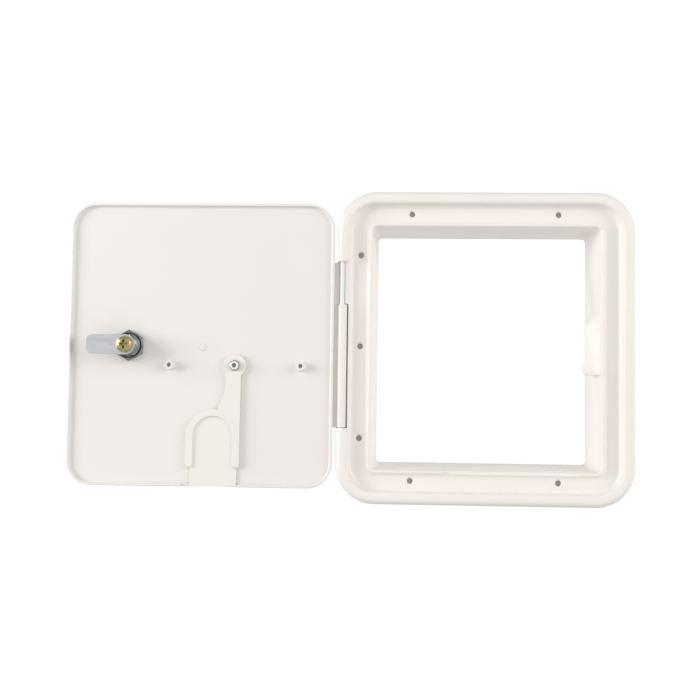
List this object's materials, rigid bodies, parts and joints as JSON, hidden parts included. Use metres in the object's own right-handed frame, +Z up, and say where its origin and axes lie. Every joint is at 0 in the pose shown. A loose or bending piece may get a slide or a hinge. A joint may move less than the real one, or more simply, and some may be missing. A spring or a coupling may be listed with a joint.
{
  "type": "cable access hatch",
  "caption": "Moulded plastic access hatch: screw-down frame with a neck, side-hinged tray door with a cam lock and a swinging flap over its cord notch.",
  "frame": {"origin": "centre of the neck's opening, on the wall face that the flange screws against", "axes": "+Y into the wall, -Y out of the front of the frame; +Z up; +X away from the hinge, which is at -X; the door is stored swung right open beside the frame"},
  "size_m": [0.4534, 0.0661, 0.2506],
  "materials": {
    "abs_white": "moulded white ABS, satin",
    "abs_cream": "moulded cream ABS, satin",
    "acetal_white": "white acetal rod",
    "plated_steel": "bright zinc or nickel plating",
    "spring_steel": "drawn spring wire",
    "yellow_zinc": "yellow passivated zinc plating",
    "lock_brass": "machined brass"
  },
  "bodies": {
    "frame": {"frame": "abs_white", "hinge_pin": "acetal_white"},
    "door": {"door_panel": "abs_white", "lock_housing": "plated_steel", "lock_nut": "plated_steel", "lock_washer": "plated_steel", "flap_screw": "acetal_white", "flap_washer": "plated_steel"},
    "latch": {"lock_plug": "lock_brass", "stop_washer": "plated_steel", "cam": "plated_steel", "cam_washer": "yellow_zinc", "cam_screw": "yellow_zinc", "wafer_1": "lock_brass", "wafer_2": "lock_brass", "wafer_3": "lock_brass", "wafer_4": "lock_brass", "wafer_5": "lock_brass", "wafer_spring_1": "spring_steel", "wafer_spring_2": "spring_steel", "wafer_spring_3": "spring_steel", "wafer_spring_4": "spring_steel", "wafer_spring_5": "spring_steel"},
    "flap": {"flap": "abs_cream"}
  },
  "joints": [
    {"name": "door_hinge", "type": "hinge", "parent": "frame", "child": "door", "pos_m": [-0.1142, -0.0066, 0], "axis": [0, 0, 1], "range_deg": [0, 180]},
    {"name": "latch_turn", "type": "hinge", "parent": "door", "child": "latch", "pos_m": [-0.2857, -0.0055, -0.0016], "axis": [0, 1, 0], "range_deg": [0, 90]},
    {"name": "flap_swing", "type": "hinge", "parent": "door", "child": "flap", "pos_m": [-0.1996, -0.0055, -0.0169], "axis": [0, 1, 0], "range_deg": [0, 42]}
  ]
}
